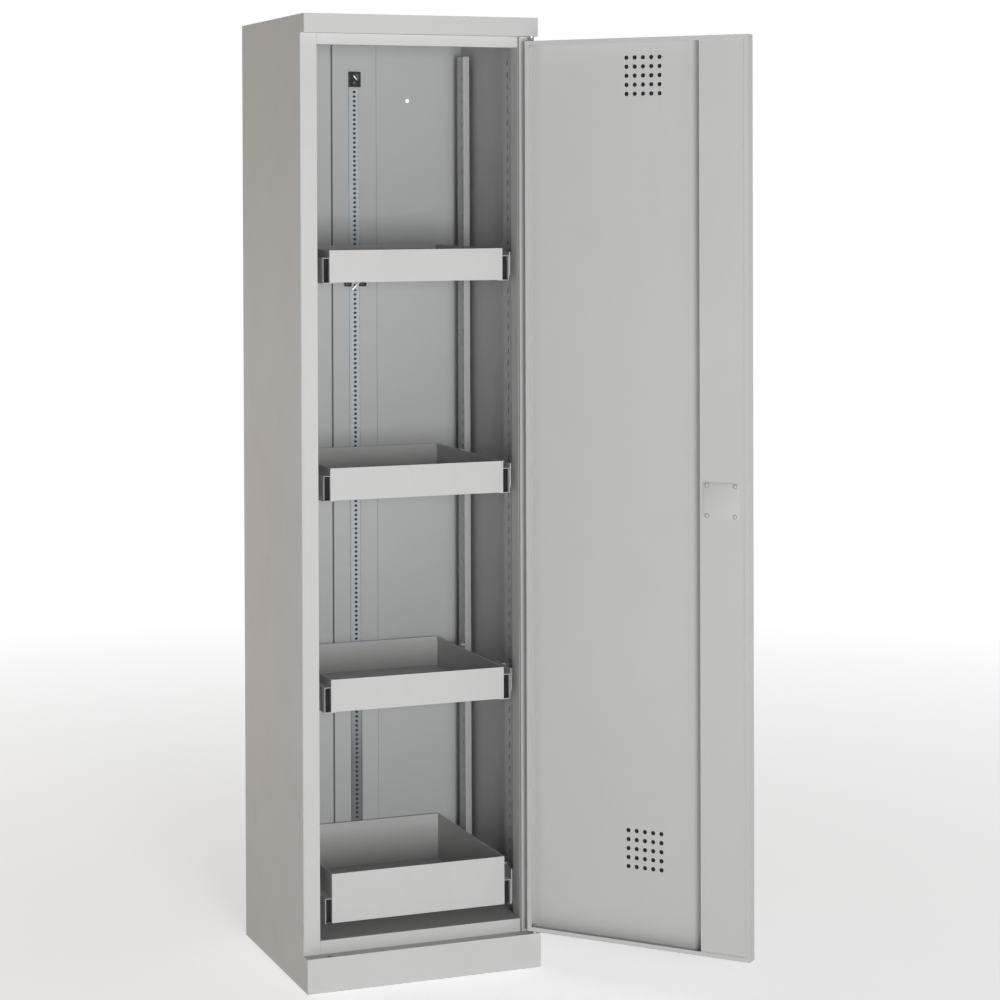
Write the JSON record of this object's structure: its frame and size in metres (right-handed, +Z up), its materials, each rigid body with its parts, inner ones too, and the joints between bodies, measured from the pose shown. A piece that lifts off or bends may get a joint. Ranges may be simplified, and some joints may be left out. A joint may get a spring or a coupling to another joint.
{
  "type": "reagent drawer cabinet",
  "caption": "Tall narrow sheet-steel laboratory cabinet with a right-hinged door, pull-out shelf trays on telescopic slides and a deep bottom drawer.",
  "frame": {"origin": "centre of the base sheet's underside, on the floor", "axes": "+Z up; +Y from the front to the back of the cabinet; +X to the right as seen from the front. The door's hinge is on the right."},
  "size_m": [0.8265, 0.8205, 1.95],
  "materials": {
    "light_grey_paint": "satin light grey powder coat on sheet steel",
    "galvanised_steel": "galvanised, semi bright",
    "rivet_grey": "light grey, satin",
    "black_plastic": "matte black",
    "guide_plastic": "natural nylon, matte",
    "handle_plastic": "fine matte black",
    "bright_steel": "bright zinc plated",
    "nickel": "nickel plated, polished"
  },
  "bodies": {
    "cabinet": {"back_cover": "light_grey_paint", "back_panel": "light_grey_paint", "floor_panel": "light_grey_paint", "frame_post_left": "light_grey_paint", "frame_post_right": "light_grey_paint", "header_rail": "light_grey_paint", "hinge_pins": "bright_steel", "perforated_rail": "galvanised_steel", "plinth": "light_grey_paint", "rail_clips": "black_plastic", "roof_cap": "light_grey_paint", "side_panel_left": "light_grey_paint", "side_panel_right": "light_grey_paint", "sill_rail": "light_grey_paint", "slide_brackets_drawer_4": "galvanised_steel", "slide_brackets_tray_1": "galvanised_steel", "slide_brackets_tray_2": "galvanised_steel", "slide_brackets_tray_3": "galvanised_steel", "slide_outer_drawer_4_left": "galvanised_steel", "slide_outer_drawer_4_right": "galvanised_steel", "slide_outer_tray_1_left": "galvanised_steel", "slide_outer_tray_1_right": "galvanised_steel", "slide_outer_tray_2_left": "galvanised_steel", "slide_outer_tray_2_right": "galvanised_steel", "slide_outer_tray_3_left": "galvanised_steel", "slide_outer_tray_3_right": "galvanised_steel", "upright_front_left": "light_grey_paint", "upright_front_right": "light_grey_paint", "upright_rear_left": "light_grey_paint", "upright_rear_right": "light_grey_paint"},
    "door": {"door_skin": "light_grey_paint", "lock_channel": "light_grey_paint", "lock_cover_plate": "light_grey_paint", "lock_rivets": "rivet_grey", "lock_case": "bright_steel", "rod_guides": "guide_plastic", "handle_rose": "handle_plastic", "hinge_bushes": "guide_plastic"},
    "handle": {"handle_grip": "handle_plastic", "key_cylinder": "nickel", "lock_pinion": "bright_steel"},
    "upper_rod": {"lock_rod_upper": "bright_steel"},
    "lower_rod": {"lock_rod_lower": "bright_steel"},
    "tray_1_moving": {"tray_1": "light_grey_paint", "slide_inner_tray_1_left": "galvanised_steel", "slide_inner_tray_1_right": "galvanised_steel"},
    "tray_1_mid_members": {"slide_mid_tray_1": "galvanised_steel"},
    "tray_2_moving": {"tray_2": "light_grey_paint", "slide_inner_tray_2_left": "galvanised_steel", "slide_inner_tray_2_right": "galvanised_steel"},
    "tray_2_mid_members": {"slide_mid_tray_2": "galvanised_steel"},
    "tray_3_moving": {"tray_3": "light_grey_paint", "slide_inner_tray_3_left": "galvanised_steel", "slide_inner_tray_3_right": "galvanised_steel"},
    "tray_3_mid_members": {"slide_mid_tray_3": "galvanised_steel"},
    "drawer_4_moving": {"drawer_4": "light_grey_paint", "slide_inner_drawer_4_left": "galvanised_steel", "slide_inner_drawer_4_right": "galvanised_steel"},
    "drawer_4_mid_members": {"slide_mid_drawer_4": "galvanised_steel"}
  },
  "joints": [
    {"name": "door_hinge", "type": "hinge", "parent": "cabinet", "child": "door", "pos_m": [0.2385, -0.2185, 0], "axis": [0, 0, 1], "range_deg": [-131, 49]},
    {"name": "handle_turn", "type": "hinge", "parent": "door", "child": "handle", "pos_m": [0.517, -0.53887, 0.984], "axis": [0.7547, 0.6561, 0], "range_deg": [0, 90]},
    {"name": "upper_rod_slide", "type": "slide", "parent": "door", "child": "upper_rod", "axis": [0, 0, 1], "range_m": [0, 0.01885]},
    {"name": "lower_rod_slide", "type": "slide", "parent": "door", "child": "lower_rod", "axis": [0, 0, -1], "range_m": [0, 0.01885]},
    {"name": "tray_1_pull", "type": "slide", "parent": "cabinet", "child": "tray_1_moving", "axis": [0, -1, 0], "range_m": [0, 0.28]},
    {"name": "tray_1_mid_slide", "type": "slide", "parent": "cabinet", "child": "tray_1_mid_members", "axis": [0, -1, 0], "range_m": [0, 0.14]},
    {"name": "tray_2_pull", "type": "slide", "parent": "cabinet", "child": "tray_2_moving", "axis": [0, -1, 0], "range_m": [0, 0.28]},
    {"name": "tray_2_mid_slide", "type": "slide", "parent": "cabinet", "child": "tray_2_mid_members", "axis": [0, -1, 0], "range_m": [0, 0.14]},
    {"name": "tray_3_pull", "type": "slide", "parent": "cabinet", "child": "tray_3_moving", "axis": [0, -1, 0], "range_m": [0, 0.28]},
    {"name": "tray_3_mid_slide", "type": "slide", "parent": "cabinet", "child": "tray_3_mid_members", "axis": [0, -1, 0], "range_m": [0, 0.14]},
    {"name": "drawer_4_pull", "type": "slide", "parent": "cabinet", "child": "drawer_4_moving", "axis": [0, -1, 0], "range_m": [0, 0.28]},
    {"name": "drawer_4_mid_slide", "type": "slide", "parent": "cabinet", "child": "drawer_4_mid_members", "axis": [0, -1, 0], "range_m": [0, 0.14]}
  ],
  "couplings": [
    {"joint": "upper_rod_slide", "follows": "handle_turn", "m_per_rad": 0.012},
    {"joint": "lower_rod_slide", "follows": "handle_turn", "m_per_rad": 0.012},
    {"joint": "tray_1_mid_slide", "follows": "tray_1_pull", "ratio": 0.5},
    {"joint": "tray_2_mid_slide", "follows": "tray_2_pull", "ratio": 0.5},
    {"joint": "tray_3_mid_slide", "follows": "tray_3_pull", "ratio": 0.5},
    {"joint": "drawer_4_mid_slide", "follows": "drawer_4_pull", "ratio": 0.5}
  ]
}
